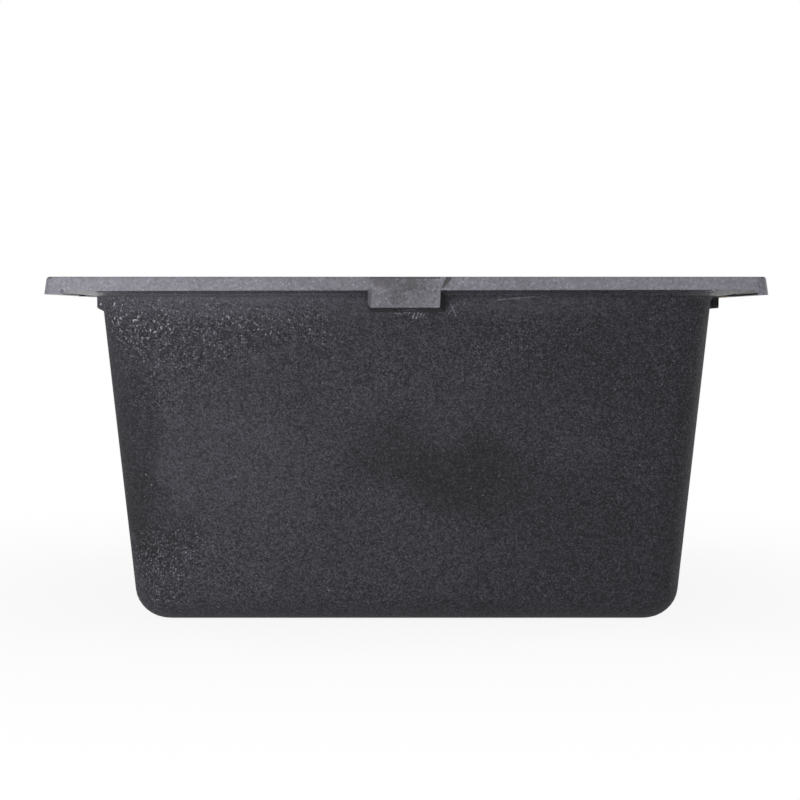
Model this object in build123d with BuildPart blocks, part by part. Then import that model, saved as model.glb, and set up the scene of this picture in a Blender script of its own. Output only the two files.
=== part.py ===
from build123d import *

import os
from math import radians, tan

# An undermount kitchen sink: one bowl cast in stone composite, hung under a worktop by
# clips that bolt to brass threaded inserts in the underside of its rim. Millimetres.
# X runs across the sink, Y along it, +Z up. The origin is the centre of the flat base.

# overall sizes
sink_width = 470.0  # at the lower edge of the long sides' lips
sink_length = 625.0
sink_depth = 229.0  # rim top to base

# rim
rim_edge_thickness = 9.0  # at the edge of the short sides
rim_edge_draft = 7.0  # degrees, the edges lean out downwards
rim_corner_radius = 6.0
rim_top_round = 1.6  # outer edge of the top face
rim_root_thickness = 12.0  # where the sloping underside meets the bowl
rim_root_land = 6.0  # level strip of the underside round the bowl
lip_depth = 11.4  # bead under the outer edge of each long side, from the rim top
lip_width = 9.0

# bowl
rim_overhang = 31.6  # rim edge to bowl wall, at the underside of the rim
wall_draft = 5.9  # degrees
wall_thickness = 9.0
inner_corner_radius = 16.0
mouth_round = 4.0  # inner edge of the rim
root_round = 4.0  # underside of the rim to the wall
base_round = 21.5  # wall to base, outside
floor_round = 13.0  # wall to floor, inside

# floor and drain
floor_thickness = 12.0  # beside the drain
floor_fall = 3.0  # from the wall down to the drain
drain_radius = 44.5  # opening for a 3 1/2 inch basket strainer
drain_seat_radius = 58.5  # recess that takes the strainer's flange
drain_seat_depth = 5.0
drain_seat_chamfer = 1.5  # floor to recess
drain_seat_margin = 6.0  # level floor round the recess
drain_edge_chamfer = 0.8
gasket_land_radius = 62.0  # smooth ring round the opening, under the base
gasket_land_depth = 0.6

# mounting lugs, one at the middle of each side
lug_width = 45.0  # at the rim's edge
lug_depth = 19.3  # rim top to the lug's underside, at the rim's edge
lug_draft = 5.0  # degrees, the sides and the underside spread towards the wall
lug_round = 2.5
lug_seat_radius = 9.0  # level spot face round the insert
lug_seat_cut = 0.3  # where the spot face is shallowest

# clip pads under the long sides of the rim
pad_radius = 8.0
pad_draft = 10.0  # degrees
pad_spacing = 400.0  # between the two pads of one side

# brass inserts
insert_inset = 17.0  # axis to the rim's edge
insert_radius = 4.8  # over the ridges
insert_ridge_sides = 8  # two such polygons, one turned, make the ridges
insert_bore_radius = 2.5  # M6, before the thread is cut
insert_groove_width = 1.4  # between the two ridged bands
insert_groove_radius = 4.0
insert_gap = 0.05  # glue line round the insert
insert_end_gap = 1.0  # between the insert and the hole's blind end
lug_insert_length = 12.0
rim_insert_length = 7.0

# worked out from the sizes above
overrun = 5.0  # how far a cut runs past the face that it opens
edge_lean = tan(radians(rim_edge_draft))
wall_lean = tan(radians(wall_draft))
lug_spread = tan(radians(lug_draft))
root_level = sink_depth - rim_root_thickness
edge_level = sink_depth - rim_edge_thickness
lip_level = sink_depth - lip_depth
floor_level = floor_thickness + floor_fall
underside_width = sink_width - 2 * lip_width
underside_length = sink_length - 2 * (lip_depth - rim_edge_thickness) * edge_lean
bowl_width = sink_width - 2 * rim_overhang
bowl_length = sink_length - 2 * rim_overhang
base_width = bowl_width - 2 * root_level * wall_lean
base_length = bowl_length - 2 * root_level * wall_lean
floor_inset = (root_level - floor_level) * wall_lean + wall_thickness
floor_width = bowl_width - 2 * floor_inset
floor_length = bowl_length - 2 * floor_inset
cavity_top = sink_depth + overrun
mouth_growth = 2 * (cavity_top - floor_level) * wall_lean
mouth_size = (floor_width + mouth_growth, floor_length + mouth_growth)
outer_corner_radius = inner_corner_radius + wall_thickness
corner_spare = 1.0  # by which a round stays under the corner that it runs into
base_blend = min(base_round, outer_corner_radius - corner_spare)
floor_blend = min(floor_round, inner_corner_radius - corner_spare)
root_blend = min(root_round, rim_root_land - corner_spare)
drain_flat = 2 * (drain_seat_radius + drain_seat_margin)
lug_run = rim_overhang + wall_thickness / 2
lug_seat_rise = (insert_inset - lug_seat_radius) * lug_spread - lug_seat_cut
lug_seat_level = sink_depth - lug_depth - lug_seat_rise
insert_x = sink_width / 2 - insert_inset
insert_y = sink_length / 2 - insert_inset

# where the lower end of each insert sits, level with the seat round it
lug_inserts = {
    "lug_insert_right": (insert_x, 0, lug_seat_level),
    "lug_insert_back": (0, insert_y, lug_seat_level),
    "lug_insert_left": (-insert_x, 0, lug_seat_level),
    "lug_insert_front": (0, -insert_y, lug_seat_level),
}
rim_inserts = {
    "rim_insert_front_left": (-insert_x, -pad_spacing / 2, root_level),
    "rim_insert_front_right": (insert_x, -pad_spacing / 2, root_level),
    "rim_insert_back_left": (-insert_x, pad_spacing / 2, root_level),
    "rim_insert_back_right": (insert_x, pad_spacing / 2, root_level),
}
insert_sets = ((lug_inserts, lug_insert_length), (rim_inserts, rim_insert_length))


# A block whose four flat sides slope between two rectangles, one above the other. Each
# size is the width along X and the length along Y.
def sloping_block(lower_size, lower_level, upper_size, upper_level):
    run = max(lower_size + upper_size)
    with BuildPart() as block:
        for plane, lower, upper, mode in (
            (Plane.XZ, lower_size[0], upper_size[0], Mode.ADD),
            (Plane.YZ, lower_size[1], upper_size[1], Mode.INTERSECT),
        ):
            with BuildSketch(plane):
                with BuildLine():
                    Polyline(
                        (-lower / 2, lower_level),
                        (lower / 2, lower_level),
                        (upper / 2, upper_level),
                        (-upper / 2, upper_level),
                        close=True,
                    )
                make_face()
            extrude(amount=run, both=True, mode=mode)
    return block.part


# The bowl's outer form: a drafted box whose corners keep one radius from rim to base.
with BuildPart() as bowl_outer:
    add(sloping_block((base_width, base_length), 0, (bowl_width, bowl_length), root_level))
    fillet(bowl_outer.edges().group_by(SortBy.LENGTH)[0], outer_corner_radius)
    fillet(bowl_outer.faces().sort_by(Axis.Z)[0].edges(), base_blend)

# The space inside the bowl, up past the rim top. Its floor is four slopes that meet in
# shallow valleys and fall to a level square round the drain.
with BuildPart() as cavity:
    add(sloping_block((floor_width, floor_length), floor_level, mouth_size, cavity_top))
    fillet(cavity.edges().group_by(SortBy.LENGTH)[0], inner_corner_radius)
    fillet(cavity.faces().sort_by(Axis.Z)[0].edges(), floor_blend)
    fall_size = (floor_width - 2 * floor_blend, floor_length - 2 * floor_blend)
    add(sloping_block((drain_flat, drain_flat), floor_thickness, fall_size, floor_level))

# One mounting lug. Its face stands at the rim's edge, at X = 0 and Z = 0 for the rim top,
# and it runs back into the wall, growing wider and deeper on the way.
with BuildPart() as lug:
    half_top = lug_width / 2 + lug_depth * lug_spread
    with BuildSketch(Plane.YZ):
        with BuildLine():
            Polyline(
                (-lug_width / 2, -lug_depth),
                (lug_width / 2, -lug_depth),
                (half_top, 0),
                (-half_top, 0),
                close=True,
            )
        make_face()
    extrude(amount=-lug_run)
    spreading_faces = lug.faces().filter_by(Axis.X, reverse=True).sort_by(Axis.Z)[:-1]
    draft(spreading_faces, Plane.YZ, lug_draft)
    underside = lug.faces().sort_by(Axis.Z)[0]
    fillet(underside.edges().group_by(SortBy.LENGTH)[0], lug_round)
    face_top = lug.faces().sort_by(Axis.X)[-1].edges().sort_by(Axis.Z)[-1]
    fillet(face_top, rim_top_round)


# The casting.
with BuildPart() as sink_bowl:
    # rim plate, its edges leaning out down to the lips' lower edge
    with BuildSketch(Plane.XY.offset(lip_level)):
        RectangleRounded(sink_width, sink_length, rim_corner_radius)
    extrude(amount=lip_depth, taper=rim_edge_draft)
    fillet(sink_bowl.faces().sort_by(Axis.Z)[-1].edges(), rim_top_round)

    # the underside between the two lips is cut back, out through both short sides
    with BuildSketch(Plane.XY.offset(edge_level)):
        Rectangle(underside_width, sink_length + 2 * overrun)
    extrude(amount=-overrun, mode=Mode.SUBTRACT)

    # and slopes down from the edges to a level strip round the bowl
    land_size = (bowl_width + 2 * rim_root_land, bowl_length + 2 * rim_root_land)
    underside_size = (underside_width, underside_length)
    add(sloping_block(land_size, root_level, underside_size, edge_level))

    # the bowl under it
    add(bowl_outer.part)
    land = sink_bowl.faces().filter_by(Axis.Z).filter_by_position(
        Axis.Z, root_level - corner_spare, root_level + corner_spare
    )[0]
    fillet(land.inner_wires()[0].edges(), root_blend)

    # lugs at the middle of each side
    with Locations(
        Location((sink_width / 2, 0, sink_depth), (0, 0, 0)),
        Location((0, sink_length / 2, sink_depth), (0, 0, 90)),
        Location((-sink_width / 2, 0, sink_depth), (0, 0, 180)),
        Location((0, -sink_length / 2, sink_depth), (0, 0, 270)),
    ):
        add(lug.part)

    # pads that give the clips a level seat on the sloping underside
    with BuildSketch(Plane.XY.offset(root_level)):
        with GridLocations(2 * insert_x, pad_spacing, 2, 2):
            Circle(pad_radius)
    extrude(amount=rim_root_thickness / 2, taper=-pad_draft)

    # the hollow, with its mouth eased all round
    add(cavity.part, mode=Mode.SUBTRACT)
    rim_top = sink_bowl.faces().sort_by(Axis.Z)[-1]
    fillet(rim_top.inner_wires()[0].edges(), mouth_round)

    # the drain: a recess in the floor, the opening through it and a land underneath
    with Locations((0, 0, floor_thickness)):
        CounterBoreHole(drain_radius, drain_seat_radius, drain_seat_depth, floor_thickness)
    with BuildSketch():
        Circle(gasket_land_radius)
    extrude(amount=gasket_land_depth, mode=Mode.SUBTRACT)
    seat_edge = sink_bowl.edges().filter_by(GeomType.CIRCLE).filter_by(
        lambda edge: abs(edge.radius - drain_seat_radius) < insert_gap
    ).sort_by(Axis.Z)[-1]
    chamfer(seat_edge, drain_seat_chamfer)
    opening_edge = sink_bowl.edges().filter_by(GeomType.CIRCLE).filter_by(
        lambda edge: abs(edge.radius - drain_radius) < insert_gap
    ).sort_by(Axis.Z)[0]
    chamfer(opening_edge, drain_edge_chamfer)

    # a spot face in each lug, and a blind hole for each insert
    with BuildSketch(Plane.XY.offset(lug_seat_level)):
        with Locations(*lug_inserts.values()):
            Circle(lug_seat_radius)
    extrude(amount=-lug_depth, mode=Mode.SUBTRACT)
    for inserts, length in insert_sets:
        with Locations(*[Location(place, (180, 0, 0)) for place in inserts.values()]):
            Hole(insert_radius + insert_gap, length + insert_end_gap)
sink_bowl.part.label = "sink_bowl"

os.makedirs("parts", exist_ok=True)
export_step(sink_bowl.part, "parts/sink_bowl.step")


# The brass inserts: a ridged body bonded into its hole, level with the seat round it, with
# a groove between its two ridged bands and a bore that opens downwards.
for inserts, length in insert_sets:
    for name, place in inserts.items():
        seat = Plane(place)
        with BuildPart() as insert:
            with BuildSketch(seat):
                for turn in (0, 180 / insert_ridge_sides):
                    RegularPolygon(insert_radius, insert_ridge_sides, rotation=turn)
                Circle(insert_bore_radius, mode=Mode.SUBTRACT)
            extrude(amount=length)
            with BuildSketch(seat.offset((length - insert_groove_width) / 2)):
                Circle(insert_radius + insert_gap)
                RegularPolygon(insert_groove_radius, insert_ridge_sides, mode=Mode.SUBTRACT)
            extrude(amount=insert_groove_width, mode=Mode.SUBTRACT)
        insert.part.label = name
        export_step(insert.part, f"parts/{name}.step")
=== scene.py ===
import math

import bmesh
import bpy
from mathutils import Matrix, Vector


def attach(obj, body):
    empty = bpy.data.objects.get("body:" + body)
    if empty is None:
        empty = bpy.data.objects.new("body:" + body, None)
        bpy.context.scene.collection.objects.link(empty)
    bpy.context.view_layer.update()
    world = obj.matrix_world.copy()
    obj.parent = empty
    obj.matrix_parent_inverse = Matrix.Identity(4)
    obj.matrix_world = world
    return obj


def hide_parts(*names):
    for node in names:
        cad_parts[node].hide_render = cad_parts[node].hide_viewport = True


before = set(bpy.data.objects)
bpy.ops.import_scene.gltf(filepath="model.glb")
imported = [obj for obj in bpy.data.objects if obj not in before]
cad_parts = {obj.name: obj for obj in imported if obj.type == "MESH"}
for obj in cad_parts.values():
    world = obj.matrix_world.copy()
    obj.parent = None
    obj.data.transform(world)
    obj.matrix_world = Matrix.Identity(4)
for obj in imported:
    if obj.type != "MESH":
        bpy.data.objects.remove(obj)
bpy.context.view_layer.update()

# An undermount kitchen sink, one casting in stone composite with brass inserts for its
# clips. Metres. X runs across the sink, Y along it, and the photographed end faces -Y.

closeTo = 1e-5
aligned = 0.9  # a normal or edge with this much of an axis in it follows that axis
littleZ = 0.1  # a face whose normal has less of Z stands upright, and such an edge is level
bevelShare = 0.902  # of a round's radius, for the bevel of a leaning wall's lower edge


def leaveEditing():
    if bpy.context.object and bpy.context.object.mode != "OBJECT":
        bpy.ops.object.mode_set(mode="OBJECT")
    bpy.ops.object.select_all(action="DESELECT")


def pickObject(piece):
    leaveEditing()
    piece.select_set(True)
    bpy.context.view_layer.objects.active = piece


def startEditing(piece):
    pickObject(piece)
    bpy.ops.object.mode_set(mode="EDIT")


def applyPlace():
    bpy.ops.object.transform_apply(location=True, rotation=True, scale=True)


def smoothShade(piece, degrees):
    # smooth, with edges sharper than this kept sharp
    pickObject(piece)
    bpy.ops.object.shade_smooth_by_angle(angle=math.radians(degrees))


def grab(kind, test):
    # selects only the corners, edges or faces whose middle m and normal or direction n pass
    bpy.ops.mesh.select_mode(type=kind)
    bpy.ops.mesh.select_all(action="DESELECT")
    mesh = bpy.context.object.data
    shape = bmesh.from_edit_mesh(mesh)
    shape.normal_update()
    if kind == "VERT":
        found = [(v, v.co, v.normal) for v in shape.verts]
    elif kind == "EDGE":
        ends = [(e, e.verts[0].co, e.verts[1].co) for e in shape.edges]
        found = [(e, (a + b) / 2, (b - a).normalized()) for e, a, b in ends]
    else:
        found = [(f, f.calc_center_median(), f.normal) for f in shape.faces]
    for part, m, n in found:
        if test(m, n):
            part.select_set(True)
    shape.select_flush_mode()
    bmesh.update_edit_mesh(mesh)


def grabAll():
    bpy.ops.mesh.select_all(action="SELECT")


def movePicked(x, y, z):
    bpy.ops.transform.translate(value=(x, y, z))


def resizePicked(x, y, **choices):
    bpy.ops.transform.resize(value=(x, y, 1), **choices)


def extrudePicked(rise):
    bpy.ops.mesh.extrude_region_move(TRANSFORM_OT_translate={"value": (0, 0, rise)})


def bevelPicked(width, steps):
    bpy.ops.mesh.bevel(offset=width, offset_type="OFFSET", segments=steps, affect="EDGES")


def cutAcross(point, normal, **choices):
    # new edges all round the piece, where a plane meets it
    grabAll()
    bpy.ops.mesh.bisect(plane_co=point, plane_no=normal, **choices)


def faceOutwards():
    grabAll()
    bpy.ops.mesh.normals_make_consistent(inside=False)


def startBlock(name, low, high, lowSize, highSize):
    # a box between two levels, its lower and upper face each at their own width and length
    leaveEditing()
    bpy.ops.mesh.primitive_cube_add(size=1, location=(0, 0, (low + high) / 2))
    piece = bpy.context.object
    piece.name = name
    piece.scale = (1, 1, high - low)
    applyPlace()
    startEditing(piece)
    for level, size in ((low, lowSize), (high, highSize)):
        grab("FACE", lambda m, n: abs(m.z - level) < closeTo)
        resizePicked(*size)
    return piece


# the round at the upper end of a wall
flare = {
    "lastTurn": math.radians(88),  # just short of level with the top
    "overrun": 0.005,  # straight up past the top
    "steps": 5,
}


def flareTop(top, size, lean, radius):
    # the upper end of a leaning block opens out along a quarter round, up to the level top
    tilt = math.atan(lean)
    level = top - radius - radius * math.sin(tilt)
    middle = radius / math.cos(tilt)
    width, length = size
    for step in range(1, flare["steps"] + 1):
        share = step / flare["steps"]
        turn = flare["lastTurn"] * share - tilt * (1 - share)
        reach = 2 * (middle - radius * math.cos(turn))
        nextLevel = top - radius + radius * math.sin(turn)
        grab("FACE", lambda m, n: abs(m.z - level) < closeTo and n.z > aligned)
        extrudePicked(nextLevel - level)
        resizePicked((size[0] + reach) / width, (size[1] + reach) / length)
        width, length, level = size[0] + reach, size[1] + reach, nextLevel
    extrudePicked(flare["overrun"])


def combine(body, tool, operation):
    leaveEditing()
    step = body.modifiers.new("combine", "BOOLEAN")
    step.operation = operation
    step.solver = "EXACT"
    step.object = tool
    bpy.context.view_layer.objects.active = body
    bpy.ops.object.modifier_apply(modifier=step.name)
    bpy.data.objects.remove(tool)


casting = {
    "width": 0.470,
    "length": 0.625,
    "depth": 0.229,
    "edgeLevel": 0.220,
    "lipLevel": 0.2176,
    "lipWidths": (0.0122, 0.0078),  # left and right, as the next line too
    "lipRoots": (0.0017, 0.0022),
    "rightLipLower": 0.0004,
    "nearEdgeShift": (-0.0003, 0.0006),  # its underside, at the left and the right lip
    "edgeLean": math.tan(math.radians(7.0)),
    "rimCorner": 0.006,
    "cornersPast": (0.232, 0.300),  # only the rim's corners lie past both, in X and Y
    "topRound": 0.0016,
    "topBand": 0.004,  # from the top's edge inwards, which leaves out the cuts at the lips
    "landLevel": 0.217,
    "landWidth": 0.006,
    "bowlWidth": 0.4068,
    "bowlLength": 0.5618,
    "wallLean": math.tan(math.radians(5.9)),
    "wallThickness": 0.009,
    "outerCorner": 0.025,
    "baseRound": 0.0215,
    "rootRound": 0.004,
    "mouthRound": 0.004,
    "floorLevel": 0.015,
    "floorFall": 0.003,
    "floorRound": 0.013,
    "drainFlat": 0.129,
    "smoothUnder": 32,  # degrees
}


def leaningSize(level):
    # width and length of the bowl's outside at a level
    spread = 2 * (casting["landLevel"] - level) * casting["wallLean"]
    return casting["bowlWidth"] - spread, casting["bowlLength"] - spread


def flareStart(top, radius):
    # the level where a wall ends and its round begins
    return top - radius * (1 + math.sin(math.atan(casting["wallLean"])))


def makeRim():
    c = casting
    nearby = 0.001
    lean = 2 * (c["edgeLevel"] - c["lipLevel"]) * c["edgeLean"]
    edgeSize = (c["width"] - lean, c["length"] - lean)
    shrink = 2 * (c["depth"] - c["edgeLevel"]) * c["edgeLean"]
    topSize = (edgeSize[0] - shrink, edgeSize[1] - shrink)
    rim = startBlock("sinkCasting", c["edgeLevel"], c["depth"], edgeSize, topSize)
    lipsInside = (c["lipWidths"][0] - c["width"] / 2, c["width"] / 2 - c["lipWidths"][1])
    for side in lipsInside:
        cutAcross((side, 0, 0), (1, 0, 0))
    # lips down both long sides
    grab("FACE", lambda m, n: n.z < -aligned and not lipsInside[0] < m.x < lipsInside[1])
    extrudePicked(c["lipLevel"] - c["edgeLevel"])
    growth = (c["width"] / edgeSize[0], c["length"] / edgeSize[1])
    resizePicked(*growth, center_override=(0, 0, c["lipLevel"]))
    grab("FACE", lambda m, n: n.z < -aligned and m.x > lipsInside[1])
    movePicked(0, 0, -c["rightLipLower"])
    # the underside between them slopes down to a level strip round the bowl
    grab("FACE", lambda m, n: n.z < -aligned and lipsInside[0] < m.x < lipsInside[1])
    extrudePicked(c["landLevel"] - c["edgeLevel"])
    land = (c["bowlWidth"] + 2 * c["landWidth"], c["bowlLength"] + 2 * c["landWidth"])
    resizePicked(1, land[1] / edgeSize[1])
    for hand, inside, shift in zip((-1, 1), lipsInside, c["nearEdgeShift"]):
        grab("VERT", lambda m, n: m.x * hand > 0 and abs(m.z - c["landLevel"]) < closeTo)
        movePicked(hand * land[0] / 2 - inside, 0, 0)
        grab("VERT", lambda m, n: abs(m.x - inside) < nearby and m.y < -c["cornersPast"][1]
             and abs(m.z - c["edgeLevel"]) < closeTo)
        movePicked(0, 0, shift)
    for inside, root in zip(lipsInside, c["lipRoots"]):
        grab("EDGE", lambda m, n: abs(n.y) > aligned and abs(m.x - inside) < nearby
             and abs(m.z - c["edgeLevel"]) < nearby)
        bevelPicked(root, 1)
    # corners, then the edge of the top
    grab("EDGE", lambda m, n: abs(n.z) > aligned and abs(m.x) > c["cornersPast"][0]
         and abs(m.y) > c["cornersPast"][1])
    bevelPicked(c["rimCorner"], 4)
    bandX, bandY = [side / 2 - c["topBand"] for side in topSize]
    grab("EDGE", lambda m, n: abs(m.z - c["depth"]) < closeTo
         and (abs(m.x) > bandX or abs(m.y) > bandY))
    bevelPicked(c["topRound"], 3)
    return rim


def makeBowlOutside():
    c = casting
    root = flareStart(c["landLevel"], c["rootRound"])
    bowl = startBlock("bowlOutside", 0, root, leaningSize(0), leaningSize(root))
    grab("EDGE", lambda m, n: abs(n.z) > aligned)
    bevelPicked(c["outerCorner"], 10)
    grab("EDGE", lambda m, n: abs(m.z) < closeTo)
    bevelPicked(c["baseRound"] * bevelShare, 8)
    flareTop(c["landLevel"], leaningSize(root), c["wallLean"], c["rootRound"])
    return bowl


def makeHollow():
    c = casting
    mouth = flareStart(c["depth"], c["mouthRound"])
    sizes = []
    for level in (c["floorLevel"], mouth):
        sizes.append([side - 2 * c["wallThickness"] for side in leaningSize(level)])
    hollow = startBlock("hollow", c["floorLevel"], mouth, *sizes)
    grab("EDGE", lambda m, n: abs(n.z) > aligned)
    bevelPicked(c["outerCorner"] - c["wallThickness"], 8)
    grab("EDGE", lambda m, n: abs(m.z - c["floorLevel"]) < closeTo)
    bevelPicked(c["floorRound"] * bevelShare, 7)
    # the floor falls in four slopes to a level square round the drain
    grab("FACE", lambda m, n: abs(m.z - c["floorLevel"]) < closeTo and n.z < -aligned)
    extrudePicked(-c["floorFall"])
    floorSize = [side - 2 * c["floorRound"] * bevelShare for side in sizes[0]]
    resizePicked(c["drainFlat"] / floorSize[0], c["drainFlat"] / floorSize[1])
    flareTop(c["depth"], sizes[1], c["wallLean"], c["mouthRound"])
    return hollow


lug = {
    "width": 0.045,
    "depth": 0.0193,
    "run": 0.0361,
    "spread": math.tan(math.radians(5.0)),
    "topRound": 0.0009,
    "belowTop": 0.0001,  # so that its top doesn't lie in the rim's
    "edgeBand": 0.0025,  # from its side inwards, where only its edges are
    "steep": 0.3,  # an edge with this much of Z in it belongs to a side
    "level": 0.5,  # and with this much of X, to the top
}
# how the four casts of the lug differ: which way each is turned, how far out it stands, how
# much deeper it is, and what its grinding moved or broke. A moved corner is (hand, row), and
# the rows are its lower edge, the rim's lower edge and its top
lugSides = (
    {
        "turn": 0, "reach": 0.3125, "deeper": 0.0006, "cornerRounds": (0.0032, 0.0011),
        "moved": {(-1, 2): 0.0009, (-1, 1): -0.0017, (-1, 0): -0.0034,
                  (1, 2): 0.0022, (1, 1): -0.0012, (1, 0): -0.0007},
        "easedLeft": 0.0021,
    },
    {"turn": 90, "reach": 0.235, "deeper": 0, "cornerRounds": (0.0025, 0.0015)},
    {"turn": 180, "reach": 0.3125, "deeper": 0.0004, "cornerRounds": (0.0018, 0.0028)},
    {"turn": 270, "reach": 0.235, "deeper": 0.0024, "cornerRounds": (0.002, 0.0025),
     "broken": (0.2098, 0.0048, 0.0026)},  # level of the break, then its run and fall
)


def makeLug(side):
    # drawn facing -Y, then turned to its side
    front, top = -side["reach"], casting["depth"] - lug["belowTop"]
    half, spread, run = lug["width"] / 2, lug["spread"], lug["run"]
    depth = lug["depth"] + side["deeper"]
    midY, midZ = front + run / 2, top - depth / 2
    leaveEditing()
    bpy.ops.mesh.primitive_cube_add(
        size=1, location=(0, midY, midZ), scale=(lug["width"], run, depth)
    )
    piece = bpy.context.object
    applyPlace()
    startEditing(piece)
    grab("FACE", lambda m, n: n.z > aligned)
    resizePicked(1 + depth * spread / half, 1)
    grab("FACE", lambda m, n: n.y > aligned)
    resizePicked(1 + run * spread / half, 1)
    grab("EDGE", lambda m, n: m.y > midY and m.z < midZ and abs(n.x) > aligned)
    movePicked(0, 0, -run * spread)
    # its flanks are cut level with the rim's lower edge, so that each part can lean alone
    cutAcross((0, 0, casting["edgeLevel"]), (0, 0, 1))
    levels = (top - depth, casting["edgeLevel"], top)
    for (hand, row), shift in side.get("moved", {}).items():
        grab("VERT", lambda m, n: m.x * hand > 0 and m.y < front + closeTo
             and abs(m.z - levels[row]) < closeTo)
        movePicked(shift, 0, 0)
    for hand, radius in zip((-1, 1), side["cornerRounds"]):
        grab("EDGE", lambda m, n: m.z < midZ and abs(n.y) > aligned and m.x * hand > 0)
        bevelPicked(radius, 4)
    if "easedLeft" in side:
        left = lug["edgeBand"] - half
        grab("EDGE", lambda m, n: m.y < front + closeTo and m.x < left
             and abs(n.z) > lug["steep"])
        bevelPicked(side["easedLeft"], 2)
    grab("EDGE", lambda m, n: m.z > top - closeTo and m.y < midY and abs(n.x) > lug["level"])
    bevelPicked(lug["topRound"], 2)
    if "broken" in side:
        level, along, fall = side["broken"]
        outwards = Vector((0, -fall, -along)).normalized()
        cutAcross((0, front, level), outwards, use_fill=True, clear_outer=True)
        faceOutwards()
    grabAll()
    bpy.ops.transform.rotate(
        value=-math.radians(side["turn"]), orient_axis="Z", center_override=(0, 0, 0)
    )
    return piece


sinkCasting = makeRim()
combine(sinkCasting, makeBowlOutside(), "UNION")
for side in lugSides:
    combine(sinkCasting, makeLug(side), "UNION")
print("rim, bowl and lugs joined")


def makeDisc(radius, low, high, x=0, y=0, lowRadius=None, sides=64):
    leaveEditing()
    bpy.ops.mesh.primitive_cone_add(
        vertices=sides,
        radius1=radius if lowRadius is None else lowRadius,
        radius2=radius,
        depth=high - low,
        location=(x, y, (low + high) / 2),
    )
    applyPlace()
    return bpy.context.object


def cutDisc(*sizes, **choices):
    combine(sinkCasting, makeDisc(*sizes, **choices), "DIFFERENCE")


clipHoles = {
    "inset": 0.017,
    "padSpacing": 0.400,
    "padRadius": 0.008,
    "padFlare": 0.0008,
    "padRise": 0.006,  # up into the rim
    "holeRadius": 0.00485,
    "holeStart": 0.003,  # the cut for a hole begins this far below its seat
    "lugSeat": 0.2093,
    "lugSeatRadius": 0.009,
    "lugFaceCut": 0.012,
    "lugHoleEnd": 0.2223,
    "rimSeat": 0.217,
    "rimHoleEnd": 0.225,
    "sides": 32,
}
holeX = casting["width"] / 2 - clipHoles["inset"]
holeY = casting["length"] / 2 - clipHoles["inset"]
lugPlaces = ((holeX, 0), (0, holeY), (-holeX, 0), (0, -holeY))
padPlaces = [
    (x, y)
    for x in (-holeX, holeX)
    for y in (-clipHoles["padSpacing"] / 2, clipHoles["padSpacing"] / 2)
]


def addPad(x, y):
    seat, radius = clipHoles["rimSeat"], clipHoles["padRadius"]
    pad = makeDisc(radius + clipHoles["padFlare"], seat, seat + clipHoles["padRise"], x, y,
                   lowRadius=radius, sides=clipHoles["sides"])
    combine(sinkCasting, pad, "UNION")


def cutHole(x, y, seat, end):
    cutDisc(clipHoles["holeRadius"], seat - clipHoles["holeStart"], end, x, y,
            sides=clipHoles["sides"])


for x, y in padPlaces:
    addPad(x, y)
combine(sinkCasting, makeHollow(), "DIFFERENCE")

drain = {
    "radius": 0.0445,
    "seatRadius": 0.0585,
    "seatLevel": 0.007,
    "seatChamfer": 0.0015,
    "landRadius": 0.062,
    "landDepth": 0.0006,
    "floor": 0.012,
    "cutFrom": -0.01,
    "cutTo": 0.05,
    "chamferOver": 0.002,  # above the floor, where its cut ends
}


def cutDrain():
    seat, chamfer, over = drain["seatRadius"], drain["seatChamfer"], drain["chamferOver"]
    cutDisc(drain["radius"], drain["cutFrom"], drain["cutTo"])
    cutDisc(seat, drain["seatLevel"], drain["cutTo"])
    cutDisc(seat + chamfer + over, drain["floor"] - chamfer, drain["floor"] + over,
            lowRadius=seat)
    cutDisc(drain["landRadius"], drain["cutFrom"], drain["landDepth"])


cutDrain()
for x, y in lugPlaces:
    seat = clipHoles["lugSeat"]
    cutDisc(clipHoles["lugSeatRadius"], seat - clipHoles["lugFaceCut"], seat, x, y,
            sides=clipHoles["sides"])
    cutHole(x, y, seat, clipHoles["lugHoleEnd"])
for x, y in padPlaces:
    cutHole(x, y, clipHoles["rimSeat"], clipHoles["rimHoleEnd"])
print("bowl hollowed, drain and clip holes cut")

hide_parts("sink_bowl")
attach(sinkCasting, "root")
startEditing(sinkCasting)
grabAll()
bpy.ops.mesh.remove_doubles(threshold=2 * closeTo)
bpy.ops.mesh.dissolve_degenerate(threshold=closeTo)
smoothShade(sinkCasting, casting["smoothUnder"])
even = sinkCasting.modifiers.new("evenShading", "WEIGHTED_NORMAL")
even.keep_sharp = True
even.weight = 100
bpy.ops.object.modifier_apply(modifier=even.name)
print("casting", len(sinkCasting.data.polygons), "faces")


# the brass threaded inserts
insert = {
    "lugLength": 0.012,
    "rimLength": 0.007,
    "radius": 0.0048,
    "ridges": 24,
    "ridgeDepth": 0.00035,
    "grooveWidth": 0.0014,
    "grooveDepth": 0.0005,
    "bore": 0.0025,
    "pitch": 0.001,
    "threadDepth": 0.00045,
    "leadIn": 0.0005,
    "smoothUnder": 25,  # degrees
}


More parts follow.
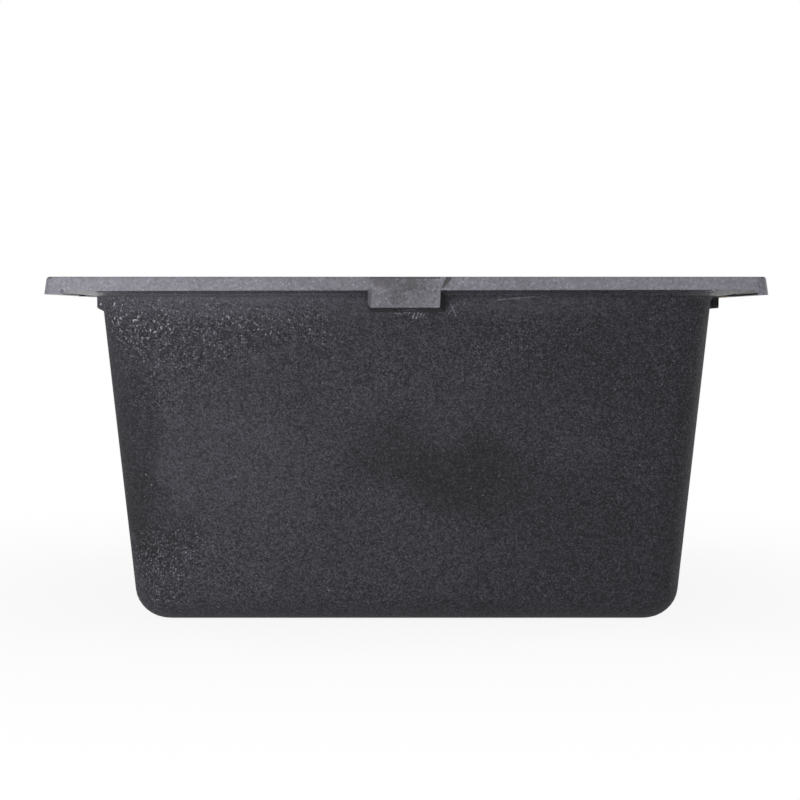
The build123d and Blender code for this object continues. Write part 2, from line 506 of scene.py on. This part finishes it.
def makeInsert(name, length):
    # drawn on the Z axis with its open end down at Z = 0
    radius, bore, leadIn = insert["radius"], insert["bore"], insert["leadIn"]
    ring = radius - insert["ridgeDepth"]
    leaveEditing()
    bpy.ops.mesh.primitive_cylinder_add(
        vertices=2 * insert["ridges"], radius=radius, depth=length, location=(0, 0, length / 2)
    )
    piece = bpy.context.object
    piece.name = name
    applyPlace()
    startEditing(piece)
    # every other edge of the body goes in, which leaves straight ridges
    step = math.pi / insert["ridges"]
    grab("EDGE", lambda m, n: abs(n.z) > aligned
         and round(math.atan2(m.y, m.x) / step) % 2 == 1)
    inward = 1 - insert["ridgeDepth"] / radius
    resizePicked(inward, inward, center_override=(0, 0, 0))
    middle, half = length / 2, insert["grooveWidth"] / 2
    for level in (middle - half, middle + half):
        cutAcross((0, 0, level), (0, 0, 1))
    grab("FACE", lambda m, n: abs(m.z - middle) < half and abs(n.z) < littleZ)
    extrudePicked(0)
    inward = 1 - insert["grooveDepth"] / radius
    resizePicked(inward, inward, center_override=(0, 0, middle))
    # a countersunk end, then the thread, one ring out and one ring in for each turn
    for level, side in ((0, -1), (length, 1)):
        grab("FACE", lambda m, n: abs(m.z - level) < closeTo and n.z * side > aligned)
        bpy.ops.mesh.inset(thickness=ring - bore - leadIn)
    grab("FACE", lambda m, n: abs(m.z) < closeTo and n.z < -aligned and m.xy.length < closeTo)
    rings = [(leadIn, bore)]
    for turn in range(int((length - 2 * leadIn) / insert["pitch"])):
        rings.append((insert["pitch"] / 2, bore + insert["threadDepth"]))
        rings.append((insert["pitch"] / 2, bore))
    across, level = bore + leadIn, 0
    for rise, nextAcross in rings:
        extrudePicked(rise)
        resizePicked(nextAcross / across, nextAcross / across)
        across, level = nextAcross, level + rise
    bpy.ops.mesh.delete(type="FACE")
    # the thread's last ring is joined to the open far end
    grab("FACE", lambda m, n: m.z > length - closeTo and m.xy.length < closeTo)
    bpy.ops.mesh.delete(type="FACE")
    grab("EDGE", lambda m, n: m.xy.length < bore + leadIn + closeTo and abs(n.z) < littleZ
         and (abs(m.z - level) < closeTo or abs(m.z - length) < closeTo))
    bpy.ops.mesh.bridge_edge_loops()
    faceOutwards()
    smoothShade(piece, insert["smoothUnder"])
    return piece


lugNodes = ("right", "back", "left", "front")
rimNodes = ("front_left", "back_left", "front_right", "back_right")
insertPieces = []
for kind, nodes, places in (("lug", lugNodes, lugPlaces), ("rim", rimNodes, padPlaces)):
    model = makeInsert(kind + "InsertModel", insert[kind + "Length"])
    for node, (x, y) in zip(nodes, places):
        name = kind + "Insert" + node.title().replace("_", "")
        piece = bpy.data.objects.new(name, model.data.copy())
        bpy.context.scene.collection.objects.link(piece)
        piece.data.transform(Matrix.Translation((x, y, clipHoles[kind + "Seat"])))
        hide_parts(kind + "_insert_" + node)
        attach(piece, "root")
        insertPieces.append(piece)
    bpy.data.objects.remove(model)
print(len(insertPieces), "inserts,", len(insertPieces[0].data.polygons), "faces in a long one")


class Flow:
    # one shader socket, so that a sum written on it adds its own Math nodes
    def __init__(self, tree, socket=None):
        self.tree, self.socket = tree, socket

    def node(self, kind, settings, values, output=0):
        made = self.tree.nodes.new(kind)
        for key, value in settings.items():
            setattr(made, key, value)
        for key, value in values.items():
            if isinstance(value, Flow):
                self.tree.links.new(value.socket, made.inputs[key])
            else:
                made.inputs[key].default_value = value
        return Flow(self.tree, made.outputs[output])

    def maths(self, operation, first, second):
        return self.node("ShaderNodeMath", {"operation": operation}, {0: first, 1: second})

    def vectors(self, operation, other, output="Vector"):
        settings = {"operation": operation}
        return self.node("ShaderNodeVectorMath", settings, {0: self, 1: other}, output)

    def axis(self, letter):
        return self.node("ShaderNodeSeparateXYZ", {}, {0: self}, letter)

    def __add__(self, other):
        return self.maths("ADD", self, other)

    def __sub__(self, other):
        return self.maths("SUBTRACT", self, other)

    def __rsub__(self, other):
        return self.maths("SUBTRACT", other, self)

    def __mul__(self, other):
        return self.maths("MULTIPLY", self, other)

    __radd__, __rmul__ = __add__, __mul__


def addUp(parts):
    total = parts[0]
    for part in parts[1:]:
        total = total + part
    return total


def highest(parts):
    top = parts[0]
    for part in parts[1:]:
        top = top.maths("MAXIMUM", top, part)
    return top


def newMaterial(name):
    material = bpy.data.materials.new(name)
    material.use_nodes = True
    tree = material.node_tree
    place = Flow(tree).node("ShaderNodeTexCoord", {}, {}, "Object")
    return material, tree.nodes["Principled BSDF"], place


def plugIn(shader, **values):
    for key, value in values.items():
        socket = shader.inputs[key.replace("_", " ")]
        if isinstance(value, Flow):
            value.tree.links.new(value.socket, socket)
        else:
            socket.default_value = value


def noise(place, scale, detail=2.0, rough=0.5):
    values = {"Vector": place, "Scale": scale, "Detail": detail, "Roughness": rough}
    return place.node("ShaderNodeTexNoise", {}, values)


def between(value, low, high):
    # 0 at low, 1 at high, with soft ends
    settings = {"interpolation_type": "SMOOTHSTEP"}
    values = {"Value": value, "From Min": low, "From Max": high}
    return value.node("ShaderNodeMapRange", settings, values)


def grains(place, scale):
    # (0 to 1 dome on each grain, a number that differs from grain to grain)
    values = {"Vector": place, "Scale": scale}
    near = place.node("ShaderNodeTexVoronoi", {"feature": "F1"}, values, "Distance")
    tint = place.node("ShaderNodeTexVoronoi", {"feature": "F1"}, values, "Color")
    pick = tint.node("ShaderNodeSeparateColor", {}, {0: tint}, 0)
    return between(near, 0.5, 0.1), pick


def blend(factor, first, second):
    settings = {"data_type": "RGBA"}
    return factor.node("ShaderNodeMix", settings, {0: factor, 6: first, 7: second}, 2)


def bumpFrom(height, strength, distance):
    values = {"Strength": strength, "Distance": distance, "Height": height}
    return height.node("ShaderNodeBump", {}, values)


def patch(place, centre, size):
    # 1 at a place on the piece, fading to 0 at its edge
    grow = tuple(1 / side for side in size)
    middle = tuple(a * b for a, b in zip(centre, grow))
    away = place.vectors("MULTIPLY", grow).vectors("DISTANCE", middle, "Value")
    return between(away, 1.0, 0.15)


def areas(place, spots):
    return addUp([patch(place, centre, size) * amount for centre, size, amount in spots])


def stirred(place, scale, reach):
    # the same place, pushed about by noise so that what is drawn on it loses its even outline
    values = {"Vector": place, "Scale": scale, "Detail": 1.0}
    push = place.node("ShaderNodeTexNoise", {}, values, "Color")
    settings = {"operation": "MULTIPLY_ADD"}
    spread = (reach, reach, reach)
    moved = place.node("ShaderNodeVectorMath", settings, {0: push, 1: spread, 2: place})
    return moved.vectors("SUBTRACT", (reach / 2, reach / 2, reach / 2))


def stroke(place, start, end, width):
    # 1 along a straight line seen from the front, fading to 0 at its sides; start and end
    # are (x, z)
    run = (end[0] - start[0], 0, end[1] - start[1])
    flat = place.vectors("SUBTRACT", (start[0], 0, start[1])).vectors("MULTIPLY", (1, 0, 1))
    along = flat.vectors("DOT_PRODUCT", run, "Value")
    settings = {"operation": "MULTIPLY", "use_clamp": True}
    onLine = 1 / (run[0] ** 2 + run[2] ** 2)
    share = along.node("ShaderNodeMath", settings, {0: along, 1: onLine})
    nearest = share.node("ShaderNodeVectorMath", {"operation": "SCALE"}, {0: run, "Scale": share})
    return between(flat.vectors("DISTANCE", nearest, "Value"), width, width * 0.3)


# the unfinished outside: places are (x, y, z) with a reach each way, and how strong
roughSkin = {
    "dark": (0.0105, 0.0101, 0.0125, 1),
    "pale": (0.119, 0.1145, 0.139, 1),
    "sooty": (0.0064, 0.0065, 0.0057, 1),
    "grainTop": (0.33, 0.316, 0.365, 1),
    "flake": (0.56, 0.545, 0.59, 1),
    "coarse": (
        ((-0.165, -0.27, 0.205), (0.085, 0.1, 0.045), 1.0),
        ((-0.09, -0.27, 0.199), (0.085, 0.1, 0.030), 0.85),
        ((-0.15, -0.27, 0.165), (0.10, 0.1, 0.06), 0.5),
        ((-0.172, -0.27, 0.035), (0.05, 0.1, 0.05), 1.1),
        ((-0.11, -0.27, 0.045), (0.06, 0.1, 0.05), 0.5),
        ((-0.02, -0.27, 0.17), (0.05, 0.1, 0.035), 0.4),
        ((0.06, -0.27, 0.178), (0.06, 0.1, 0.03), 0.55),
        ((0.165, -0.27, 0.165), (0.06, 0.1, 0.06), 0.4),
        ((-0.03, -0.27, 0.016), (0.05, 0.1, 0.02), 0.5),
        ((0.09, -0.27, 0.02), (0.07, 0.1, 0.03), 0.35),
        ((0.15, -0.27, 0.08), (0.05, 0.1, 0.05), 0.3),
    ),
    "flaked": (
        ((-0.175, -0.27, 0.200), (0.05, 0.1, 0.03), 1.0),
        ((-0.10, -0.27, 0.193), (0.07, 0.1, 0.02), 0.65),
        ((-0.045, -0.27, 0.187), (0.03, 0.1, 0.015), 0.35),
        ((-0.228, -0.024, 0.215), (0.03, 0.02, 0.025), 1.2),
    ),
    "darkAreas": (
        ((0.035, -0.27, 0.096), (0.055, 0.1, 0.035), 0.6),
        ((-0.02, -0.27, 0.114), (0.06, 0.1, 0.035), 0.5),
        ((0.06, -0.27, 0.09), (0.12, 0.1, 0.055), 0.35),
        ((0.14, -0.27, 0.045), (0.10, 0.1, 0.05), 0.2),
        ((0.05, -0.27, 0.172), (0.09, 0.1, 0.035), 0.1),
        ((0.16, -0.27, 0.16), (0.09, 0.1, 0.08), 0.25),
        ((-0.18, -0.27, 0.12), (0.03, 0.1, 0.09), 0.5),
        ((-0.168, -0.27, 0.065), (0.035, 0.1, 0.05), 0.5),
        ((-0.06, -0.27, 0.165), (0.06, 0.1, 0.03), 0.15),
    ),
    "hazeAndPaintedLightAreas": (
        ((-0.12, -0.27, 0.10), (0.075, 0.1, 0.085), 0.9),
        ((0.12, -0.27, 0.122), (0.045, 0.1, 0.035), 0.6),
        ((-0.03, -0.27, 0.135), (0.06, 0.1, 0.03), 0.2),
        ((0.07, -0.27, 0.13), (0.08, 0.1, 0.03), 0.25),
        ((0.10, -0.27, 0.115), (0.02, 0.1, 0.02), 0.25),
        ((-0.185, -0.27, 0.03), (0.02, 0.1, 0.03), 1.0),
        # painted light: the front flank of the left side lug, where the key light falls on it
        ((-0.228, -0.024, 0.215), (0.03, 0.02, 0.025), 6.0),
        ((0.045, -0.27, 0.165), (0.04, 0.1, 0.03), 0.4),
    ),
    # painted light: a paler band along the top of the front wall, just under the rim, where the
    # rim's overhang would shade it
    "paintedLightUnderRim": (
        ((-0.13, -0.276, 0.212), (0.17, 0.028, 0.016), 2.7),
        ((-0.13, -0.276, 0.217), (0.17, 0.028, 0.006), 2.6),
        ((0.07, -0.276, 0.212), (0.13, 0.028, 0.014), 2.0),
    ),
    # start and end (x, z), width, how strong
    "scratches": (
        ((0.0053, 0.2055), (0.0039, 0.2019), 0.0006, 1.0),
        ((0.0076, 0.2055), (0.0063, 0.2019), 0.0006, 0.9),
        ((0.0099, 0.2052), (0.0088, 0.2025), 0.0006, 0.8),
        ((0.0116, 0.2045), (0.0106, 0.2022), 0.0005, 0.6),
        ((-0.0071, 0.2055), (-0.0057, 0.2049), 0.0005, 0.5),
        ((-0.0047, 0.2052), (-0.0034, 0.2045), 0.0005, 0.5),
        ((-0.0017, 0.2049), (-0.0007, 0.2055), 0.0005, 0.5),
        ((0.0013, 0.2042), (0.0019, 0.2059), 0.0005, 0.6),
        ((0.0293, 0.2109), (0.0325, 0.2039), 0.0005, 0.75),
        ((0.0316, 0.2109), (0.0276, 0.2049), 0.0005, 0.65),
        ((0.0387, 0.2125), (0.0373, 0.2102), 0.0005, 0.6),
        ((0.059, 0.2139), (0.1036, 0.2182), 0.0005, 0.5),
    ),
    # painted shade: a dark smear on the wall just under the lower right corner of the end lug
    "shadeBelowLug": ((0.0156, 0.2052), (0.0223, 0.2045), 0.0012),
    "frontWall": (-0.262, -0.272),  # Y, where marks seen from the front fade in
    "otherWalls": (-0.25, -0.23),
}


def roughCastFinish():
    # charcoal, matt, with a raised grit that the mould left, denser and coarser in places
    skin = roughSkin
    material, shader, place = newMaterial("roughCast")
    wavy = stirred(place, 22, 0.05)
    cloud = noise(place, 12, 3, 0.55)
    drift = noise(place, 30, 2, 0.5)
    fine, finePick = grains(stirred(place, 900, 0.0006), 1120)
    medium, mediumPick = grains(stirred(place, 600, 0.0012), 600)
    # painted light: across makes the outside paler towards the left, as if more of the key light
    # fell there
    across = between(place.axis("X"), 0.2, -0.2)
    along = place.axis("Y")
    front = between(along, *skin["frontWall"])
    unseen = between(along, *skin["otherWalls"]) * between(cloud, 0.45, 0.7) * 0.9
    coarse = between(areas(wavy, skin["coarse"]) + (drift - 0.5) * 0.8 + unseen, 0.05, 1.0)
    darker = areas(wavy, skin["darkAreas"])
    # haze, with painted light under the rim and on the left side lug's flank
    hazeAndPaintedLight = areas(wavy, skin["hazeAndPaintedLightAreas"]) + areas(place, skin["paintedLightUnderRim"])
    # every grain has its own tone; the tops of the palest grains and stones are painted pale,
    # partly as paler grit and partly as painted highlights
    tops = fine * between(finePick, 0.7, 0.95)
    stones = medium * between(mediumPick + coarse * 0.2, 0.66, 1.0) * coarse
    thick = areas(wavy, skin["flaked"])
    patchy = noise(stirred(place, 300, 0.002), 500, 1.5, 0.5)
    bold = (0.3 + mediumPick * 0.7) * (0.45 + thick * 0.6)
    flakes = between(patchy + thick * 0.12, 0.72, 0.77) * bold
    shadeOf = (
        0.265 + across * 0.12 + (cloud - 0.5) * 0.15 + (finePick - 0.5) * (0.6 + coarse * 0.1)
        + (fine - 0.45) * 0.3 + hazeAndPaintedLight * 0.09 - darker * 0.07 - coarse * 0.05
    )
    base = blend(shadeOf, skin["dark"], skin["pale"])
    sooty = blend(between(darker, 0.1, 0.7) * 0.42, base, skin["sooty"])
    onTop = tops * (0.34 + coarse * 0.3) + stones * (0.3 + mediumPick * 0.55)
    grey = blend(flakes, blend(onTop, sooty, skin["grainTop"]), skin["flake"])
    marks = [stroke(place, a, b, width) * much for a, b, width, much in skin["scratches"]]
    scratched = blend(addUp(marks) * front * (0.2 + finePick * 0.75), grey, skin["grainTop"])
    # painted shade under the end lug's lower right corner
    shadeBelowLug = stroke(stirred(place, 300, 0.002), *skin["shadeBelowLug"])
    colour = blend(shadeBelowLug * front * 0.75, scratched, skin["dark"])
    height = fine * (0.25 + finePick * 0.35) + stones * 0.7 + flakes * 0.7
    plugIn(shader, Base_Color=colour, Roughness=0.78 - stones * 0.15)
    plugIn(shader, Specular_IOR_Level=0.3, Normal=bumpFrom(height, 1.0, 0.0009))
    return material


def undersideFinish():
    # the rim seen from below, where the mould was smoother, so it shines at a low angle
    skin = roughSkin
    material, shader, place = newMaterial("rimUnderside")
    drawn = place.vectors("MULTIPLY", (1, 0.45, 1))  # grains drawn out along the sink
    fine, finePick = grains(stirred(drawn, 900, 0.0007), 850)
    medium, mediumPick = grains(stirred(drawn, 600, 0.0012), 600)
    cloud = noise(place, 14, 3, 0.55)
    aside = place.node("ShaderNodeVectorMath", {"operation": "ABSOLUTE"}, {0: place})
    bowlEdge = (casting["bowlWidth"] / 2, casting["bowlLength"] / 2, 0)
    outwards = aside.vectors("SUBTRACT", bowlEdge)
    pastX, pastY = outwards.axis("X"), outwards.axis("Y")
    # painted light: the underside is paler within about 10 mm of the bowl wall than out at the
    # rim's edge, standing in for light from the floor and the studio
    paintedLightNearWall = between(highest((pastX, pastY)), 0.019, 0.010)
    ahead = between(pastX, 0.0, -0.004)
    wellAhead = between(pastX, -0.008, -0.03)
    # painted light: paler towards the left, where more light reaches under the rim
    left = between(place.axis("X"), 0.12, -0.2)
    shadeOf = (
        0.3 + (finePick - 0.5) * 0.55 + (cloud - 0.5) * 0.3 + paintedLightNearWall * (0.3 + left * 0.7)
        + left * 0.3
    )
    base = blend(shadeOf, skin["dark"], skin["pale"])
    paleGrains = fine * between(finePick, 0.7, 1.0) * (0.25 + ahead * 0.25 + left * 0.6)
    onTop = paleGrains + paintedLightNearWall * left * wellAhead * 0.35
    flakes = medium * between(mediumPick, 0.72, 0.95) * ahead * (0.25 + left * 0.75)
    colour = blend(flakes * 0.9, blend(onTop, base, skin["grainTop"]), skin["flake"])
    # the grain is strong beside the wall and dies away in the corners
    height = fine * finePick * (0.3 + ahead * 0.6)
    speckle = (finePick - 0.5) * (0.3 + ahead * 0.5)
    polish = paintedLightNearWall * wellAhead * (0.26 + left * 0.1)
    rough = 0.64 + (cloud - 0.5) * 0.2 + speckle - polish
    sheen = (1 - ahead) * (0.17 + left * 0.2)
    plugIn(shader, Base_Color=colour, Roughness=rough, Specular_IOR_Level=0.35)
    plugIn(shader, Coat_Weight=sheen, Coat_Roughness=0.09, Normal=bumpFrom(height, 0.8, 0.0006))
    return material


# the rim's edge and the end lugs, ground after casting
groundSkin = {
    "dark": (0.060, 0.058, 0.067, 1),
    "pale": (0.40, 0.385, 0.45, 1),
    "grimy": (0.075, 0.071, 0.075, 1),
    # painted shade, for the dent beside the lug's top right corner
    "shadedDentFloor": (0.046, 0.045, 0.044, 1),
    # painted light: the rim's edge is paler at its left end, where the key light is strongest,
    # and lifted over its right half, where that light falls off
    "paintedLightLeftEnd": ((-0.27, -0.31, 0.225), (0.16, 0.3, 0.2)),
    "paintedLightRightEnd": ((0.24, -0.31, 0.225), (0.22, 0.3, 0.2)),
    "lug": ((0, -0.3145, 0.22), (0.034, 0.02, 0.024)),
    "grime": (
        ((-0.0185, -0.3125, 0.2268), (0.007, 0.01, 0.0045), 0.95),
        ((-0.0105, -0.3125, 0.2245), (0.008, 0.01, 0.0045), 0.75),
        ((0.0035, -0.3125, 0.2262), (0.0055, 0.01, 0.0055), 1.2),
        ((-0.0005, -0.3125, 0.2215), (0.003, 0.01, 0.0045), 0.8),
        ((-0.0045, -0.3125, 0.2165), (0.003, 0.01, 0.0045), 0.7),
        ((-0.0190, -0.3125, 0.2160), (0.008, 0.01, 0.009), 0.35),
    ),
    # start and end (x, z), width
    "topLine": ((-0.0225, 0.2284), (0.0215, 0.2284), 0.0012),
    "leftEdge": ((-0.0238, 0.2195), (-0.0243, 0.2105), 0.0024),
    # painted shade: dark strokes beside the lug's top right corner, where its flared flank is in
    # shade; they are also pressed in as a shallow dent
    "shadedDent": (
        ((0.0275, 0.2292), (0.0250, 0.2245), 0.0016),
        ((0.0295, 0.2292), (0.0262, 0.2252), 0.0014),
        ((0.0250, 0.2245), (0.0238, 0.2225), 0.0009),
    ),
    "toneStep": (0.2288, 0.53, 0.003),  # its level, slope and raggedness
    "toneStepAt": (-0.0905, -0.0935),  # X at that level
    "frontFace": (-0.3, -0.305),  # Y, where marks seen from the front fade in
}


def groundEdgeFinish():
    # paler than the rest, with drifting tone, fine sparkle and a few grimy places
    skin = groundSkin
    material, shader, place = newMaterial("groundEdge")
    fine, finePick = grains(stirred(place, 900, 0.0007), 700)
    glints = fine * between(finePick, 0.75, 1.0)
    tone = noise(place, 16, 3, 0.6)
    smear = between(noise(stirred(place, 60, 0.02), 70, 3, 0.6), 0.35, 0.65)
    stepLevel, slope, ragged = skin["toneStep"]
    leaning = place.axis("X") - (stepLevel - place.axis("Z")) * slope
    step = between(leaning + (finePick - 0.5) * ragged, *skin["toneStepAt"])
    front = between(place.axis("Y"), *skin["frontFace"])
    atLug = patch(place, *skin["lug"])
    grime = areas(stirred(place, 160, 0.006), skin["grime"])
    # painted light makes the left end and the right half of the rim's edge paler
    shadeOf = (
        0.335 + patch(place, *skin["paintedLightLeftEnd"]) * 0.17 + step * 0.065
        + patch(place, *skin["paintedLightRightEnd"]) * 0.15 + (tone - 0.5) * 0.25
        + (finePick - 0.5) * 0.22 + glints * 0.4 + (smear - 0.5) * (0.04 + atLug * 0.1)
        - atLug * 0.215
    )
    plain = blend(shadeOf, skin["dark"], skin["pale"])
    grimy = blend(between(grime * front, 0.05, 0.9) * 0.7, plain, skin["grimy"])
    # a darker, speckled band down the lug's eased left edge, and a dark line along its top
    darkLeftEdge = stroke(place, *skin["leftEdge"]) * (0.45 + finePick * 1.1)
    darkEdgeLines = darkLeftEdge + stroke(place, *skin["topLine"]) * 0.85
    lined = blend(darkEdgeLines * front, grimy, skin["dark"])
    # painted shade beside the lug's top right corner, also pressed in as a dent
    shadedDent = highest([stroke(stirred(place, 200, 0.001), *line) for line in skin["shadedDent"]]) * front
    colour = blend(shadedDent * 0.85, lined, skin["shadedDentFloor"])
    height = fine * 0.5 + smear * 0.4 - shadedDent * 1.5
    plugIn(shader, Base_Color=colour, Roughness=0.6 + (tone - 0.5) * 0.2)
    plugIn(shader, Specular_IOR_Level=0.35, Normal=bumpFrom(height, 0.6, 0.0004))
    return material


bowlSkin = {
    "dark": (0.030, 0.029, 0.032, 1),
    "pale": (0.052, 0.050, 0.055, 1),
    "fleck": (0.22, 0.215, 0.21, 1),
}


def smoothBowlFinish():
    # the side in use: rim top and inside of the bowl, even and fine, with pale flecks
    material, shader, place = newMaterial("smoothBowl")
    fleck, fleckPick = grains(place, 700)
    fine = noise(place, 500, 3, 0.6)
    cloud = noise(place, 7, 2, 0.5)
    flecks = fleck * between(fleckPick, 0.9, 0.97)
    base = blend(fine * 0.6 + cloud * 0.4, bowlSkin["dark"], bowlSkin["pale"])
    colour = blend(flecks * 0.6, base, bowlSkin["fleck"])
    rough = 0.42 + (cloud - 0.5) * 0.15
    plugIn(shader, Base_Color=colour, Roughness=rough, Normal=bumpFrom(fine, 0.5, 0.0002))
    return material


brassSkin = {"dark": (0.55, 0.38, 0.15, 1), "pale": (0.72, 0.54, 0.27, 1)}


def brassFinish():
    material, shader, place = newMaterial("brass")
    tone = noise(place, 220, 3, 0.6)
    turned = noise(place, 2500, 2, 0.5)
    colour = blend(tone, brassSkin["dark"], brassSkin["pale"])
    plugIn(shader, Base_Color=colour, Metallic=1.0, Roughness=0.3 + tone * 0.2)
    plugIn(shader, Normal=bumpFrom(turned, 0.3, 0.0001))
    return material


startEditing(sinkCasting)
for finish in (roughCastFinish(), groundEdgeFinish(), smoothBowlFinish(), undersideFinish()):
    sinkCasting.data.materials.append(finish)

# where one finish gives way to the next: places as (X, Y) from the middle, then how much of
# an axis a normal has
finishEdges = {
    "mouth": (0.206, 0.283),
    "ground": (0.2325, 0.3098),
    "lugFace": 0.3105,
    "aboveBase": 0.001,
    "towardsAxis": 0.0005,
    "top": 0.97,
    "upwards": 0.5,
    "notLevel": 0.95,
    "endwards": 0.6,
}


def insideBowl(m, n):
    mouthX, mouthY = finishEdges["mouth"]
    inMouth = abs(m.x) < mouthX and abs(m.y) < mouthY and m.z > finishEdges["aboveBase"]
    inwards = m.x * n.x + m.y * n.y < -finishEdges["towardsAxis"]
    return (inMouth and (inwards or n.z > finishEdges["upwards"])) or n.z > finishEdges["top"]


def groundFace(m, n):
    groundX, groundY = finishEdges["ground"]
    atRim = m.z > casting["lipLevel"] - closeTo and abs(n.z) < finishEdges["notLevel"]
    lugFace = abs(n.y) > finishEdges["endwards"] and abs(m.y) > finishEdges["lugFace"]
    return (atRim and (abs(m.x) > groundX or abs(m.y) > groundY)) or lugFace


def rimUnderside(m, n):
    return n.z < -finishEdges["upwards"] and m.z > casting["landLevel"] - closeTo


for slot, test in ((2, insideBowl), (3, rimUnderside), (1, groundFace)):
    grab("FACE", test)
    sinkCasting.active_material_index = slot
    bpy.ops.object.material_slot_assign()
leaveEditing()
brass = brassFinish()
for piece in insertPieces:
    piece.data.materials.append(brass)
print("finishes made")

view = {
    "place": (0.0076, -2.0275, 0.2032),
    "sensorWidth": 36,  # millimetres, as the next line too
    "lens": 119.3,
    "picture": 800,  # pixels, as the next line too
    "vanishingPoint": (418, 316.5),
    "clipEnd": 90,
}
camera = bpy.data.objects.new("camera", bpy.data.cameras.new("camera"))
bpy.context.scene.collection.objects.link(camera)
bpy.context.scene.camera = camera
camera.location = view["place"]
camera.rotation_euler = (math.radians(90), 0, 0)
camera.data.sensor_fit = "HORIZONTAL"
camera.data.sensor_width = view["sensorWidth"]
camera.data.lens = view["lens"]
camera.data.shift_x = -(view["vanishingPoint"][0] - view["picture"] / 2) / view["picture"]
camera.data.shift_y = (view["vanishingPoint"][1] - view["picture"] / 2) / view["picture"]
camera.data.clip_end = view["clipEnd"]

studio = {
    "floorSide": 80,
    "floorTone": (0.82, 0.82, 0.82, 1),
    "shadowReach": (0.85, 0.95, 1),
    "shadowShare": 0.1,  # of the floor's own look, beside the sink
    "white": (1, 1, 1, 1),
    "ambient": 0.2,
    "shineFront": 0.25,
    # place, target, size, power, beam in degrees
    "keyLight": ((-0.36, -2.2, 0.17), (-0.33, -0.28, 0.13), (0.7, 0.34), 3.7, 62),
    "topLight": ((-0.2, 0.1, 1.7), (0, 0, 0), (1.3, 1.6), 13, 180),
    "rightRim": ((1.35, 0.75, 0.45), (0.15, -0.1, 0.12), (0.5, 0.5), 6, 180),
}
leaveEditing()
bpy.ops.mesh.primitive_plane_add(size=studio["floorSide"])
floor = bpy.context.object
floor.name = "floor"


def seenRays(flow):
    # 1 where the camera looks, where a shine or clear surface does, and where any of them does
    kinds = ("Is Camera Ray", "Is Glossy Ray", "Is Transmission Ray")
    direct, glossy, through = [flow.node("ShaderNodeLightPath", {}, {}, kind) for kind in kinds]
    mirrored = highest((glossy, through))
    return direct, mirrored, highest((direct, mirrored))


def floorFinish():
    # white to the camera, apart from a share near the sink that takes its shadow
    material, shader, place = newMaterial("floorWhite")
    tree = material.node_tree
    plugIn(shader, Base_Color=studio["floorTone"], Roughness=0.9)
    lit = {"Color": studio["white"], "Strength": 1.0}
    white = place.node("ShaderNodeEmission", {}, lit)
    seen = seenRays(place)[2]
    nearSink = patch(place, (0, 0, 0), studio["shadowReach"])
    share = seen * (1 - nearSink * studio["shadowShare"])
    shaded = Flow(tree, shader.outputs[0])
    mixed = place.node("ShaderNodeMixShader", {}, {0: share, 1: shaded, 2: white})
    under = place.node("ShaderNodeNewGeometry", {}, {}, "Backfacing")
    clear = place.node("ShaderNodeBsdfTransparent", {}, {})
    final = place.node("ShaderNodeMixShader", {}, {0: under, 1: mixed, 2: clear})
    tree.links.new(final.socket, tree.nodes["Material Output"].inputs["Surface"])
    return material


floor.data.materials.append(floorFinish())

world = bpy.data.worlds.new("studio")
bpy.context.scene.world = world
world.use_nodes = True
sky = Flow(world.node_tree)
cameraRays, shineRays, seen = seenRays(sky)
# diffuse light is even, while shine sees a white studio behind and a dimmer one in front
direction = sky.node("ShaderNodeTexCoord", {}, {}, "Generated")
behind = between(direction.axis("Y"), -0.35, 0.25)
shine = studio["shineFront"] + behind * (1 - studio["shineFront"])
strength = studio["ambient"] * (1 - seen) + cameraRays + (1 - cameraRays) * shineRays * shine
plugIn(world.node_tree.nodes["Background"], Color=studio["white"], Strength=strength)


def addLight(name, place, target, size, power, beam):
    data = bpy.data.lights.new(name, "AREA")
    data.shape = "RECTANGLE"
    data.size, data.size_y = size
    data.energy = power
    data.spread = math.radians(beam)
    light = bpy.data.objects.new(name, data)
    bpy.context.scene.collection.objects.link(light)
    light.location = place
    light.rotation_euler = (Vector(target) - Vector(place)).to_track_quat("-Z", "Y").to_euler()


for name in ("keyLight", "topLight", "rightRim"):
    addLight(name, *studio[name])
bpy.context.scene.view_settings.view_transform = "Standard"
print("floor, lights and camera set")
